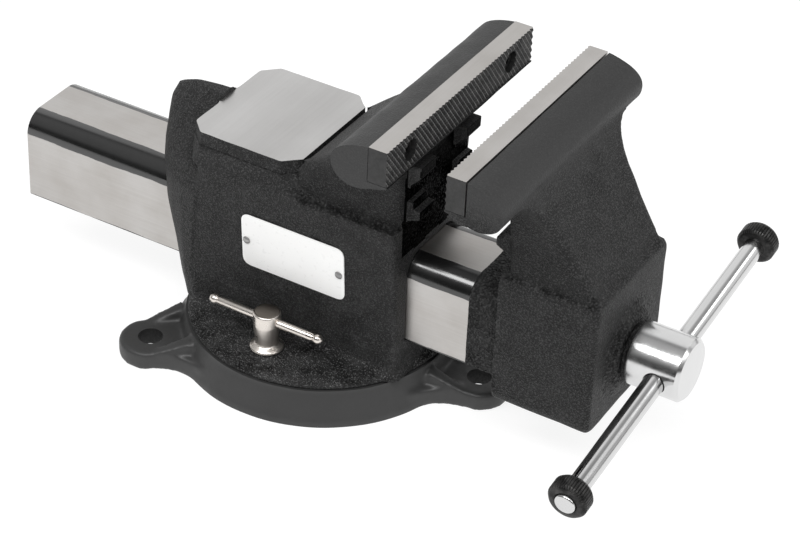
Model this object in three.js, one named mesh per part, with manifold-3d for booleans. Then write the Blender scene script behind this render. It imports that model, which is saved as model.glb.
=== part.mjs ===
// Machine vise: a 150 mm parallel bench vise on a swivel base, with anvil, pipe jaws, channel slide,
// screw spindle and sliding handle bar.
// Units are millimetres. +X runs along the slide towards the handle, +Y across the jaws, +Z up.
// The origin is on the swivel axis, in the plane that the base rests on.
import * as THREE from 'three';
import { ConvexGeometry } from 'three/addons/geometries/ConvexGeometry.js';
import { mergeVertices } from 'three/addons/utils/BufferGeometryUtils.js';
import Module from 'manifold-3d';

const wasm = await Module();
wasm.setup();

// ---------------------------------------------------------------- driving dimensions
const GAP = 0.3; // clearance between pieces that touch

// Jaw inserts: the face of the fixed jaw, and the opening to the movable one.
const JAW = {
  width: 150, opening: 33, fixedFace: 81, insertDepth: 11.2, insertHeight: 20.1, top: 192.5,
};
const SCREW = { y: 51.5, z: 182.4, head: 4.6, headDepth: 5.6, shank: 3, length: 13, socket: 2.4, inset: 3 };
const BEAM = { depth: 33, ledge: 172.1, low: 165.6, top: 192.2, web: 174 };
const WEB = { flare: 3.5, rise: 27, spread: 0.6 }; // how a web widens to carry its beam
const PIPE = { inner: 16, outer: 31.5, top: 158, foot: 120, fixedBack: 18, setback: 3, lift: 3 };

// Movable jaw, in one casting with its channel-shaped slide. The neck stands proud of the ground part.
const SLIDE = {
  width: 52, top: 95, bottom: 42.3, corner: 12.7, wall: 9, roof: 8,
  rear: -184, neckStart: 105.7, neckProud: 0.5,
};
const FRONT_BOX = { rear: 129, front: 186.5, half: 40, bottom: 36.5, top: 119, round: 6, web: 37 };
const BOSS = { front: 190.6, radius: 22.5, root: 26 };

const SPINDLE = {
  z: 71.1, thread: 10, neck: 9, rear: -139, neckStart: 150, hub: 17.7, hubRear: 193.2, hubFront: 223.8,
};
const WASHER = { radius: 16, thick: 2 };
const COLLAR = { radius: 13, thick: 12, pin: 2.5 };
const HANDLE = {
  x: 210.8, tilt: 7.9, radius: 5.8, half: 114.5, capRadius: 11, capThick: 11, capFace: 113,
};

// Swivel base, its bolting lugs, the tee slot in it and the two locks.
const BASE = { bottomRadius: 82.3, topRadius: 76.4, height: 20.3, floor: 4.5, turn: 3 };
const LUG = { thick: 10.7, radius: 17.5, hole: 7, frontReach: 99, rearReach: 97, rearAngle: 141 };
const RIB = { root: 77, tip: 97, low: 8, high: 18.3, inside: 12, rootOutside: 21, tipOutside: 17 };
const SLOT = { neck: 6.5, half: 12.3, neckBottom: 12, loadingRadius: 13.5, loadingAngle: 70 };
const LOCK = { x: -2.2, reach: 54, bolt: 5, flange: 9.4, neck: 6.3, head: 7.7, top: 50, clearance: 0.8 };
const LOCK_BAR = { z: 44.6, radius: 2, ball: 2.9, half: 33.4, rest: -0.8 };
const CLAMP_NUT = { half: 10.8 };

// Fixed jaw: its foot disk with the spigot, the block, the hood, the anvil and the column.
const SPIGOT = { radius: 28, bottom: 8.5 };
const DISK = {
  radius: 75.8, bottom: 20.6, top: 23.4, crown: 26.2, crownRadius: 42, seat: 25.8, seatRadius: 11,
};
const BLOCK = { rear: -66, front: 69, low: 23.4, high: 119.5, halfLow: 36, halfHigh: 43, round: 7, edge: 3 };
const ANVIL = { rear: -63.5, front: 4.5, half: 39.7, top: 138, shoulder: 130, step: 1, chamfer: 8.6 };
const COLUMN = { front: 68, rearFoot: 2, rearHead: 54, crest: 135, foot: 37, round: 6 };
const NUT = { half: 22, width: 28, bottom: 34.3, top: 85.4 };
const NUT_BOLT = { x: 13, radius: 5, head: 8, headHeight: 10, top: 55, socket: 4.6 };
const PLATE = { x: 5.4, z: 81.2, length: 65, height: 34.4, thick: 0.8, corner: 4.2 };
const RIVET = { x: 29.3, shank: 1.3, hole: 1.6, head: 2.3, length: 5 };

// Planes that follow from the above.
const MOVABLE_FACE = JAW.fixedFace + JAW.opening;
const COLLAR_WALL = SPINDLE.neckStart + COLLAR.thick + 2 * GAP;
const PAST = 200; // runs a cutting tool clear of any piece

const RIGHT = Math.PI / 2;
const rad = THREE.MathUtils.degToRad;

// ---------------------------------------------------------------- solids
// A closed geometry as a manifold solid, with shared vertices merged and slivers of no area dropped.
function solid(geometry) {
  const bare = new THREE.BufferGeometry();
  bare.setAttribute('position', geometry.getAttribute('position').clone());
  if (geometry.index) bare.setIndex(geometry.index.clone());
  const merged = mergeVertices(bare, 1e-4);
  const index = merged.index.array;
  const faces = [];
  for (let i = 0; i < index.length; i += 3) {
    const [a, b, c] = [index[i], index[i + 1], index[i + 2]];
    if (a !== b && b !== c && c !== a) faces.push(a, b, c);
  }
  const vertProperties = merged.attributes.position.array;
  const make = (triVerts) =>
    new wasm.Manifold(new wasm.Mesh({ numProp: 3, vertProperties, triVerts: new Uint32Array(triVerts) }));
  const made = make(faces);
  return made.volume() < 0 ? make(faces.reverse()) : made;
}

const join = (...solids) => solids.reduce((a, b) => a.add(b));
const cut = (from, ...tools) => tools.reduce((a, b) => a.subtract(b), from);

function geometryOf(manifold) {
  const mesh = manifold.getMesh();
  const geometry = new THREE.BufferGeometry();
  geometry.setAttribute('position', new THREE.BufferAttribute(new Float32Array(mesh.vertProperties), 3));
  geometry.setIndex(new THREE.BufferAttribute(new Uint32Array(mesh.triVerts), 1));
  const flat = geometry.toNonIndexed();
  flat.computeVertexNormals();
  return flat;
}

// Boxes are given by their lowest and highest values on X, Y and Z.
function box([x0, x1], [y0, y1], [z0, z1]) {
  const geometry = new THREE.BoxGeometry(x1 - x0, y1 - y0, z1 - z0);
  return solid(geometry.translate((x0 + x1) / 2, (y0 + y1) / 2, (z0 + z1) / 2));
}

const basis = (...axes) =>
  new THREE.Matrix4().makeBasis(...axes.map((axis) => new THREE.Vector3(...axis)));
const AXES = {
  X: basis([0, 1, 0], [0, 0, 1], [1, 0, 0]),
  Y: basis([1, 0, 0], [0, 0, 1], [0, -1, 0]),
  Z: basis([1, 0, 0], [0, 1, 0], [0, 0, 1]),
};

// An outline swept along an axis: (y, z) along X, (x, z) along Y, and (x, y) along Z.
function swept(axis, shape, from, to, curveSegments = 6) {
  const geometry = new THREE.ExtrudeGeometry(shape, { depth: to - from, bevelEnabled: false, curveSegments });
  geometry.translate(0, 0, axis === 'Y' ? -to : from);
  return solid(geometry.applyMatrix4(AXES[axis]));
}

// A round bar along an axis through (a, b), the two other coordinates in the order of swept.
function rod(axis, radius, a, b, from, to, segments = 24) {
  const shape = new THREE.Shape().absarc(a, b, radius, 0, 2 * Math.PI);
  return swept(axis, shape, from, to, segments / 2);
}

// A profile of [radius, height] pairs turned about the Z axis; it starts and ends on the axis.
function turned(profile, segments = 48) {
  const points = profile.map(([r, z]) => new THREE.Vector2(r, z));
  return solid(new THREE.LatheGeometry(points, segments).rotateX(RIGHT));
}

const hull = (points) => solid(new ConvexGeometry(points));

// A closed loft: neighbouring sections are joined by their convex hull.
function loft(sections) {
  const slabs = sections.slice(1).map((section, i) => hull([...sections[i], ...section]));
  return join(...slabs);
}

// Corner points of a rounded rectangle, as [u, v] pairs.
function roundedCorners(u0, u1, v0, v1, radius, steps = 3) {
  const centres = [[u1 - radius, v1 - radius, 0], [u0 + radius, v1 - radius, 1],
    [u0 + radius, v0 + radius, 2], [u1 - radius, v0 + radius, 3]];
  return centres.flatMap(([u, v, quarter]) =>
    Array.from({ length: steps + 1 }, (_, i) => {
      const angle = RIGHT * (quarter + i / steps);
      return [u + radius * Math.cos(angle), v + radius * Math.sin(angle)];
    }));
}

const levelSection = (z, x0, x1, half, radius) =>
  roundedCorners(x0, x1, -half, half, radius).map(([x, y]) => new THREE.Vector3(x, y, z));
const uprightSection = (x, half, z0, z1, radius) =>
  roundedCorners(-half, half, z0, z1, radius).map(([y, z]) => new THREE.Vector3(x, y, z));

// ---------------------------------------------------------------- shared outlines
// Section of the slide, and of the passage for it with a clearance all round: (y, z).
function slideOutline(grow, corner = SLIDE.corner) {
  const half = SLIDE.width / 2 + grow;
  const top = SLIDE.top + grow;
  const r = corner + grow;
  const shape = new THREE.Shape();
  shape.moveTo(-half, SLIDE.bottom - grow);
  shape.lineTo(half, SLIDE.bottom - grow);
  shape.lineTo(half, top - r);
  shape.absarc(half - r, top - r, r, 0, RIGHT);
  shape.lineTo(r - half, top);
  shape.absarc(r - half, top - r, r, RIGHT, 2 * RIGHT);
  return shape;
}

// Section of a jaw beam: (x, z), with u counted from the jaw's face into the casting.
function beamOutline(face, inward) {
  const at = (u) => face + inward * u;
  const seat = JAW.insertDepth + GAP;
  const shape = new THREE.Shape();
  shape.moveTo(at(0), BEAM.ledge);
  shape.lineTo(at(12), BEAM.low + 1.9);
  shape.bezierCurveTo(at(20), BEAM.low - 1.6, at(BEAM.depth), BEAM.low + 1, at(BEAM.depth), BEAM.low + 13);
  shape.bezierCurveTo(at(BEAM.depth), BEAM.low + 21, at(22), BEAM.top - 1.4, at(seat), BEAM.top);
  shape.lineTo(at(seat), BEAM.ledge);
  return shape;
}

const beam = (face, inward) => swept('Y', beamOutline(face, inward), -JAW.width / 2, JAW.width / 2, 7);

// The web that carries a beam flares from a narrow foot out to the full jaw width: [z, half width].
function webLevels(footZ, footHalf) {
  const waist = footHalf + WEB.flare;
  const spread = WEB.spread * (JAW.width / 2 - waist);
  const levels = [[footZ, footHalf], [footZ + 0.4 * (BEAM.web - footZ), footHalf + 1.5]];
  const steps = 6;
  for (let i = 0; i <= steps; i += 1) {
    const angle = RIGHT * (i / steps);
    levels.push([BEAM.web + WEB.rise * (Math.sin(angle) - 1), waist + spread * (1 - Math.cos(angle))]);
  }
  return levels;
}

// Stepped vee of a pipe jaw cheek: (x, z), with u counted from the jaw's face into the casting.
function pipeOutline(face, inward, back, setback, lift) {
  const at = (u) => face + inward * (u + setback);
  const steps = [[5, PIPE.top], [5, 151.5], [10.5, 145.5], [10.5, 144], [13.3, 142], [13.3, 136.2],
    [8.8, 135.5], [8.8, 131.6], [4.2, 131.2], [4.2, 126.2], [back, PIPE.foot]];
  const shape = new THREE.Shape();
  shape.moveTo(at(back), PIPE.top + lift);
  steps.forEach(([u, z]) => shape.lineTo(at(u), z + lift));
  return shape;
}

const pipeCheeks = (face, inward, back, setback, lift) =>
  [-1, 1].map((side) => {
    const edges = [side * PIPE.inner, side * PIPE.outer].sort((a, b) => a - b);
    return swept('Y', pipeOutline(face, inward, back, setback, lift), edges[0], edges[1]);
  });

// Holes for the two screws that hold a jaw insert, from the jaw's face inwards.
const screwHoles = (face, inward, radius, from, to) =>
  [-1, 1].map((side) => {
    const ends = [face + inward * from, face + inward * to].sort((a, b) => a - b);
    return rod('X', radius, side * SCREW.y, SCREW.z, ends[0], ends[1], 16);
  });

// ---------------------------------------------------------------- swivel base
// One bolting lug, as an outline in the (x, y) plane with the lug pointing along +X.
function lugOutline(reach) {
  const root = rad(25);
  const rim = BASE.bottomRadius - 1.5;
  const wrap = rad(72);
  const shape = new THREE.Shape();
  const [rootX, rootY] = [rim * Math.cos(root), rim * Math.sin(root)];
  const [endX, endY] = [reach + LUG.radius * Math.cos(wrap), LUG.radius * Math.sin(wrap)];
  shape.moveTo(rootX - 20, -rootY);
  shape.lineTo(rootX, -rootY);
  shape.quadraticCurveTo(rim + 3, -LUG.radius + 1, endX, -endY);
  shape.absarc(reach, 0, LUG.radius, -wrap, wrap);
  shape.quadraticCurveTo(rim + 3, LUG.radius - 1, rootX, rootY);
  shape.lineTo(rootX - 20, rootY);
  return shape;
}

// The two ribs that run down from the ring onto a lug along its edges.
const lugRibs = () =>
  [-1, 1].map((side) => hull([
    ...[RIB.inside, RIB.rootOutside].flatMap((y) =>
      [RIB.low, RIB.high].map((z) => new THREE.Vector3(RIB.root, side * y, z))),
    ...[RIB.inside, RIB.tipOutside].flatMap((y) =>
      [RIB.low, LUG.thick].map((z) => new THREE.Vector3(RIB.tip, side * y, z)))]));

const LUGS = [[LUG.frontReach, 0], [LUG.rearReach, LUG.rearAngle], [LUG.rearReach, -LUG.rearAngle]];

function swivelBase() {
  const { bottomRadius: bottom, topRadius: top, height } = BASE;
  const body = turned([[0, 0], [bottom - 1.2, 0], [bottom, 1.2], [bottom - 1, 5], [top + 0.8, height - 2.6],
    [top, height - 0.8], [top - 1.2, height], [0, height]], 72);
  const lugs = LUGS.map(([reach, angle]) =>
    join(swept('Z', lugOutline(reach), 0, LUG.thick, 10), ...lugRibs()).rotate([0, 0, angle]));
  const holes = LUGS.map(([reach, angle]) =>
    rod('Z', LUG.hole, reach, 0, -1, LUG.thick + 1).rotate([0, 0, angle]));
  const pivot = rod('Z', SPIGOT.radius + GAP, 0, 0, SPIGOT.bottom - GAP, height + 1, 40);
  const loading = rod('Z', SLOT.loadingRadius, LOCK.reach, 0, -1, SLOT.neckBottom)
    .rotate([0, 0, SLOT.loadingAngle]);
  return cut(join(body, ...lugs), ...holes, pivot, teeSlot(), loading).rotate([0, 0, BASE.turn]);
}

// Ring-shaped tee slot that the clamp nuts run in.
function teeSlot() {
  const ring = (inner, outer, z0, z1) =>
    turned([[inner, z0], [outer, z0], [outer, z1], [inner, z1], [inner, z0]], 56);
  const neck = ring(LOCK.reach - SLOT.neck, LOCK.reach + SLOT.neck, SLOT.neckBottom - 1, BASE.height + 1);
  const tee = ring(LOCK.reach - SLOT.half, LOCK.reach + SLOT.half, BASE.floor, SLOT.neckBottom);
  return neck.add(tee);
}

// ---------------------------------------------------------------- fixed jaw body
function bodyBlock() {
  const { rear, front, low, high, halfLow, halfHigh, round, edge } = BLOCK;
  const foot = levelSection(low - 2, rear + 4, front + 3, halfLow + 5, round);
  const ankle = levelSection(low + 5, rear, front, halfLow + 0.4, edge);
  const ridge = levelSection(high, rear + 10, front - 1, halfHigh, edge);
  return loft([foot, ankle, ridge]);
}

// Semi-elliptical hood round the slide at the block's rear: [z, depth, half width].
function hood() {
  const levels = [[21.5, 12, 34], [40, 20, 37], [62, 28.5, 39.5], [80, 35.5, 41], [100, 40, 42],
    [112, 42, 38], [121, 44, 29], [130, 44, 18], [136, 41, 10], [140.5, 19, 3.5]];
  const steps = 12;
  const sections = levels.map(([z, depth, half]) => {
    const centre = z > 137 ? BLOCK.rear : Math.min(BLOCK.rear + 11 * ((z - 21.5) / 98), BLOCK.rear + 11);
    return Array.from({ length: steps + 1 }, (_, i) => {
      const angle = RIGHT + (Math.PI * i) / steps;
      return new THREE.Vector3(centre + depth * Math.cos(angle), half * Math.sin(angle), z);
    });
  });
  return loft(sections);
}

function anvil() {
  const { rear, front, half, top, shoulder, step, chamfer } = ANVIL;
  const octagon = (z, grow) =>
    [[rear - grow, half - chamfer], [rear + chamfer, half + grow],
      [front - chamfer, half + grow], [front + grow, half - chamfer]]
      .flatMap(([x, y]) => [new THREE.Vector3(x, y, z), new THREE.Vector3(x, -y, z)]);
  const ridge = levelSection(BLOCK.high - 1, BLOCK.rear + 4, front + 8, BLOCK.halfHigh, BLOCK.round);
  const plate = loft([octagon(shoulder - 2, 0), octagon(top, 0)]);
  return join(loft([ridge, octagon(shoulder, step)]), plate);
}

function fixedColumn() {
  const { front, rearFoot, rearHead, crest, round } = COLUMN;
  const levels = webLevels(BLOCK.high - 1, COLUMN.foot);
  levels.splice(1, 0, [crest, COLUMN.foot + 1]);
  const sections = levels.map(([z, half]) => {
    const t = Math.max(0, (z - crest) / (BEAM.web - crest));
    const rear = rearFoot + (rearHead - rearFoot) * t;
    return levelSection(z, rear, front, half, round);
  });
  return loft(sections);
}

function fixedJawBody() {
  const { radius, bottom, top, crown, crownRadius, seat, seatRadius } = DISK;
  const disk = turned([[0, bottom], [radius - 0.8, bottom], [radius, bottom + 0.8], [radius - 0.4, top - 0.9],
    [radius - 2, top], [crownRadius, crown], [0, crown]], 72);
  const seats = [-1, 1].map((side) => rod('Z', seatRadius, LOCK.x, side * LOCK.reach, bottom, seat));
  const spigot = rod('Z', SPIGOT.radius, 0, 0, SPIGOT.bottom, bottom + 1, 40);
  const casting = join(disk, ...seats, spigot, bodyBlock(), hood(), anvil(), fixedColumn(),
    beam(JAW.fixedFace, -1), ...pipeCheeks(JAW.fixedFace, -1, PIPE.fixedBack, 0, 0));
  const passage = swept('X', slideOutline(GAP), -PAST, PAST);
  const pocket = box([-NUT.half - GAP, NUT.half + GAP], [-NUT.width / 2 - GAP, NUT.width / 2 + GAP],
    [NUT.bottom - GAP, SLIDE.bottom]);
  const nutBolts = [-1, 1].flatMap((side) => [
    rod('Z', NUT_BOLT.radius + GAP, side * NUT_BOLT.x, 0, 0, NUT.bottom, 20),
    rod('Z', NUT_BOLT.head + GAP, side * NUT_BOLT.x, 0, 0, SPIGOT.bottom + NUT_BOLT.headHeight + 1, 24)]);
  const lockHoles = [-1, 1].map((side) =>
    rod('Z', LOCK.bolt + LOCK.clearance, LOCK.x, side * LOCK.reach, 0, seat + 20, 20));
  const rivets = [-1, 1].map((side) =>
    rod('Z', RIVET.hole, side * RIVET.x, 0, -RIVET.length - 1, RIVET.length + 1, 12)
      .transform(plateFrame().elements));
  const anvilClear = box([ANVIL.rear, ANVIL.front], [-ANVIL.half, ANVIL.half], [ANVIL.top, ANVIL.top + 10]);
  return cut(casting, passage, pocket, anvilClear, ...nutBolts, ...lockHoles, ...rivets,
    ...screwHoles(JAW.fixedFace, -1, SCREW.shank + GAP, 0, JAW.insertDepth + SCREW.length));
}

// ---------------------------------------------------------------- movable jaw
function slideChannel() {
  const outer = swept('X', slideOutline(0), SLIDE.rear, FRONT_BOX.rear + 5);
  const neck = swept('X', slideOutline(SLIDE.neckProud), SLIDE.neckStart, FRONT_BOX.rear + 5);
  return outer.add(neck);
}

function channelHollow() {
  const half = SLIDE.width / 2 - SLIDE.wall;
  return box([SLIDE.rear - 1, COLLAR_WALL], [-half, half], [SLIDE.bottom - 2, SLIDE.top - SLIDE.roof]);
}

function frontBox() {
  const { rear, front, half, bottom, top, round } = FRONT_BOX;
  return loft([
    uprightSection(rear, half, bottom, top, round),
    uprightSection(front - 2, half, bottom, top, round),
    uprightSection(front, half - 2, bottom + 2, top - 2, round - 1.5)]);
}

function movableWeb() {
  const foot = FRONT_BOX.top - 3;
  const sections = webLevels(foot, FRONT_BOX.web).map(([z, half]) => {
    const t = (z - foot) / (BEAM.web - foot);
    const front = FRONT_BOX.front - 1 + (MOVABLE_FACE + BEAM.depth + 1 - FRONT_BOX.front) * t;
    return levelSection(z, FRONT_BOX.rear + PIPE.setback, front, half, 4);
  });
  return loft(sections);
}

// Raised ring round the spindle on the front of the jaw.
function boss() {
  const rise = BOSS.front - FRONT_BOX.front;
  const profile = [[0, -8], [BOSS.root, -8], [BOSS.root, 0.6], [BOSS.radius, 2], [BOSS.radius - 1, rise],
    [0, rise]];
  return turned(profile, 40)
    .rotate([0, 90, 0])
    .translate([FRONT_BOX.front, 0, SPINDLE.z]);
}

function movableJaw() {
  const casting = join(slideChannel(), frontBox(), movableWeb(), beam(MOVABLE_FACE, 1),
    ...pipeCheeks(MOVABLE_FACE, 1, FRONT_BOX.rear - MOVABLE_FACE, PIPE.setback, PIPE.lift), boss());
  const spindleHole = rod('X', SPINDLE.neck + GAP, 0, SPINDLE.z, COLLAR_WALL - 1, PAST);
  return cut(casting, channelHollow(), spindleHole,
    ...screwHoles(MOVABLE_FACE, 1, SCREW.shank + GAP, 0, JAW.insertDepth + SCREW.length));
}

// ---------------------------------------------------------------- jaw inserts and their screws
function jawInsert(face, inward) {
  const ends = [face, face + inward * JAW.insertDepth].sort((a, b) => a - b);
  const plate = box(ends, [-JAW.width / 2, JAW.width / 2], [JAW.top - JAW.insertHeight, JAW.top]);
  return cut(plate, ...screwHoles(face, inward, SCREW.shank + GAP, -1, JAW.insertDepth + 1),
    ...screwHoles(face, inward, SCREW.head + GAP, -1, SCREW.inset + SCREW.headDepth + GAP));
}

// Socket head screw, drawn along +X with its head at the origin end.
function insertScrew() {
  const head = rod('X', SCREW.head, 0, 0, 0, SCREW.headDepth, 20);
  const shank = rod('X', SCREW.shank, 0, 0, SCREW.headDepth - 1, SCREW.headDepth + SCREW.length, 16);
  const socket = rod('X', SCREW.socket, 0, 0, -1, SCREW.headDepth / 2, 6);
  return cut(head.add(shank), socket);
}

// ---------------------------------------------------------------- spindle, its washer, collar and pin
function spindle() {
  const { thread, neck, rear, neckStart, hub, hubRear, hubFront } = SPINDLE;
  const profile = [[0, rear], [thread - 2, rear], [thread, rear + 2], [thread, neckStart - 1],
    [neck, neckStart], [neck, hubRear], [hub - 1.5, hubRear], [hub, hubRear + 1.5],
    [hub, hubFront - 1.5], [hub - 1.5, hubFront], [0, hubFront]];
  const shaft = turned(profile, 40).rotate([0, 90, 0]).translate([0, 0, SPINDLE.z]);
  const pinHole = rod('Z', COLLAR.pin + GAP, neckStart + COLLAR.thick / 2 + GAP, 0, 0, PAST, 12);
  const cross = rod('Y', HANDLE.radius + GAP, 0, 0, -2 * hub, 2 * hub).transform(handleFrame().elements);
  return cut(shaft, pinHole, cross);
}

function thrustWasher() {
  const { radius, thick } = WASHER;
  const disc = rod('X', radius, 0, SPINDLE.z, BOSS.front + GAP, BOSS.front + GAP + thick, 32);
  return cut(disc, rod('X', SPINDLE.neck + GAP, 0, SPINDLE.z, 0, 2 * PAST));
}

function collar() {
  const start = SPINDLE.neckStart + GAP;
  const ring = rod('X', COLLAR.radius, 0, SPINDLE.z, start, start + COLLAR.thick, 32);
  return cut(ring, rod('X', SPINDLE.neck + GAP, 0, SPINDLE.z, 0, PAST),
    rod('Z', COLLAR.pin + GAP, start + COLLAR.thick / 2, 0, 0, PAST, 12));
}

const collarPin = () =>
  rod('Z', COLLAR.pin, SPINDLE.neckStart + GAP + COLLAR.thick / 2, 0,
    SPINDLE.z - COLLAR.radius, SPINDLE.z + COLLAR.radius, 12);

// ---------------------------------------------------------------- handle
// Frame of the handle bar: it passes through the hub, leaning out of the level on its far side.
function handleFrame() {
  return new THREE.Matrix4().makeTranslation(HANDLE.x, 0, SPINDLE.z)
    .multiply(new THREE.Matrix4().makeRotationX(rad(HANDLE.tilt)));
}

function handleBar() {
  const { radius, half } = HANDLE;
  return turned([[0, -half], [radius - 1.2, -half], [radius, 1.2 - half], [radius, half - 1.2],
    [radius - 1.2, half], [0, half]], 24).rotate([-90, 0, 0]);
}

function handleCap(side) {
  const { capRadius: r, capThick, capFace, radius } = HANDLE;
  const inner = capFace - capThick;
  const ring = turned([[0, inner], [r - 1.8, inner], [r, inner + 1.8], [r, capFace - 1.8],
    [r - 1.8, capFace], [0, capFace]], 32);
  return cut(ring, rod('Z', radius + GAP, 0, 0, 0, capFace + 5)).rotate([-90 * side, 0, 0]);
}

// ---------------------------------------------------------------- spindle nut and its bolts
function spindleNut() {
  const block = box([-NUT.half, NUT.half], [-NUT.width / 2, NUT.width / 2], [NUT.bottom, NUT.top]);
  const bolts = [-1, 1].map((side) =>
    rod('Z', NUT_BOLT.radius + GAP, side * NUT_BOLT.x, 0, 0, NUT_BOLT.top + 1, 20));
  return cut(block, rod('X', SPINDLE.thread + GAP, 0, SPINDLE.z, -PAST, PAST, 40), ...bolts);
}

function nutBolt() {
  const { radius, head, headHeight, top } = NUT_BOLT;
  const base = SPIGOT.bottom + 0.5;
  const cap = rod('Z', head, 0, 0, base, base + headHeight, 24);
  const shank = rod('Z', radius, 0, 0, base + headHeight - 1, top, 20);
  const socket = rod('Z', NUT_BOLT.socket, 0, 0, base - 1, base + headHeight / 2, 6);
  return cut(cap.add(shank), socket);
}

// ---------------------------------------------------------------- swivel locks
function lockScrew() {
  const { bolt, flange, neck, head, top } = LOCK;
  const seat = DISK.seat + GAP;
  const body = turned([[0, BASE.floor + 1], [bolt, BASE.floor + 1], [bolt, seat],
    [flange, seat], [flange, seat + 2.2], [neck, seat + 4.4], [neck, seat + 8],
    [head, seat + 10], [head, top - 1.5], [head - 1.5, top], [0, top]], 28);
  return cut(body, rod('X', LOCK_BAR.radius + GAP, 0, LOCK_BAR.z, -2 * head, 2 * head, 16));
}

function lockBar() {
  const { radius, ball, half } = LOCK_BAR;
  const rounded = [-60, -20, 20, 60].map((angle) =>
    [ball * Math.cos(rad(angle)), half + ball * Math.sin(rad(angle))]);
  const end = [[radius, half - ball - 1], ...rounded, [0, half + ball]];
  const start = end.map(([r, z]) => [r, -z]).reverse();
  return turned([...start, ...end], 16).rotate([0, 90, 0]);
}

function clampNut() {
  const { half } = CLAMP_NUT;
  const block = box([-half, half], [-half, half], [BASE.floor + GAP, SLOT.neckBottom - GAP]);
  return cut(block, rod('Z', LOCK.bolt + GAP, 0, 0, 0, 30, 20));
}

// ---------------------------------------------------------------- nameplate
// Frame of the plate on the leaning near face of the block, with its outward side as +Z.
function plateFrame() {
  const rise = BLOCK.high - BLOCK.low - 5;
  const lean = Math.atan2(BLOCK.halfHigh - BLOCK.halfLow - 0.4, rise);
  const half = BLOCK.halfHigh - (BLOCK.high - PLATE.z) * Math.tan(lean);
  return new THREE.Matrix4().makeTranslation(PLATE.x, -half, PLATE.z)
    .multiply(new THREE.Matrix4().makeRotationX(RIGHT + lean));
}

function nameplate() {
  const { length, height, thick, corner } = PLATE;
  const corners = roundedCorners(-length / 2, length / 2, -height / 2, height / 2, corner, 4);
  const shape = new THREE.Shape(corners.map(([x, y]) => new THREE.Vector2(x, y)));
  const holes = [-1, 1].map((side) => rod('Z', RIVET.hole, side * RIVET.x, 0, -5, 5, 12));
  return cut(swept('Z', shape, GAP, GAP + thick), ...holes);
}

function rivet() {
  const { shank, head, length } = RIVET;
  const seat = 2 * GAP + PLATE.thick;
  return turned([[0, -length], [shank, -length], [shank, seat], [head, seat],
    [0.87 * head, seat + 0.7], [0.48 * head, seat + 1.2], [0, seat + 1.3]], 16);
}

// ---------------------------------------------------------------- materials
const finish = (color, roughness, metalness) => () =>
  new THREE.MeshStandardMaterial({ color, roughness, metalness });
const castPaint = finish(0x2b2b2d, 0.75, 0.0);
const satinPaint = finish(0x222224, 0.45, 0.0);
const groundSteel = finish(0xc4c3c0, 0.35, 1.0);
const toothedSteel = finish(0x9c9c9a, 0.5, 1.0);
const chrome = finish(0xd8dadc, 0.12, 1.0);
const nickel = finish(0xb9b2a6, 0.25, 1.0);
const blackSteel = finish(0x1b1b1c, 0.5, 0.6);
const plainSteel = finish(0x8b8b8c, 0.4, 1.0);
const iron = finish(0x6a6560, 0.6, 0.8);
const plateWhite = finish(0xe6e6e4, 0.4, 0.0);

// ---------------------------------------------------------------- assembly
const vise = new THREE.Group();

function add(name, manifold, material, parent = vise) {
  const mesh = new THREE.Mesh(geometryOf(manifold), material());
  mesh.name = name;
  parent.add(mesh);
  return mesh;
}

function framed(matrix) {
  const group = new THREE.Group();
  group.applyMatrix4(matrix);
  vise.add(group);
  return group;
}

add('swivel_base', swivelBase(), satinPaint);
add('fixed_jaw_body', fixedJawBody(), castPaint);
add('movable_jaw_body', movableJaw(), castPaint);

const sides = [['near', -1], ['far', 1]];
const jaws = [['fixed', JAW.fixedFace, -1], ['movable', MOVABLE_FACE, 1]];
for (const [jaw, face, inward] of jaws) {
  add(`${jaw}_jaw_insert`, jawInsert(face, inward), toothedSteel);
  for (const [side, sign] of sides) {
    const screw = add(`${jaw}_insert_screw_${side}`, insertScrew(), blackSteel);
    screw.position.set(face + inward * SCREW.inset, sign * SCREW.y, SCREW.z);
    if (inward < 0) screw.rotation.z = Math.PI;
  }
}

add('spindle', spindle(), chrome);
add('thrust_washer', thrustWasher(), plainSteel);
add('spindle_collar', collar(), plainSteel);
add('spindle_collar_pin', collarPin(), plainSteel);

const handle = framed(handleFrame());
add('handle_bar', handleBar(), chrome, handle);
add('handle_cap_far', handleCap(1), blackSteel, handle);
add('handle_cap_near', handleCap(-1), blackSteel, handle);

add('spindle_nut', spindleNut(), iron);
for (const [end, sign] of [['rear', -1], ['front', 1]]) {
  add(`spindle_nut_bolt_${end}`, nutBolt(), blackSteel).position.x = sign * NUT_BOLT.x;
}

for (const [side, sign] of sides) {
  add(`lock_screw_${side}`, lockScrew(), nickel).position.set(LOCK.x, sign * LOCK.reach, 0);
  add(`lock_bar_${side}`, lockBar(), nickel)
      .position.set(LOCK.x + LOCK_BAR.rest, sign * LOCK.reach, LOCK_BAR.z);
  add(`clamp_nut_${side}`, clampNut(), plainSteel).position.set(LOCK.x, sign * LOCK.reach, 0);
}

const plate = framed(plateFrame());
add('nameplate', nameplate(), plateWhite, plate);
for (const [end, sign] of [['rear', -1], ['front', 1]]) {
  add(`nameplate_rivet_${end}`, rivet(), plainSteel, plate).position.x = sign * RIVET.x;
}

export default vise;
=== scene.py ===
"""Looks of the machine vise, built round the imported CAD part: castings with soft edges, toothed jaw
inserts, threads, knurls, paint, ground steel and chrome, and a plain studio.
Lengths are millimetres in the frame of the part, turned into metres as each mesh is made."""
import math

import bmesh
import bpy
import numpy as np
from mathutils import Matrix, Vector, noise


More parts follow.
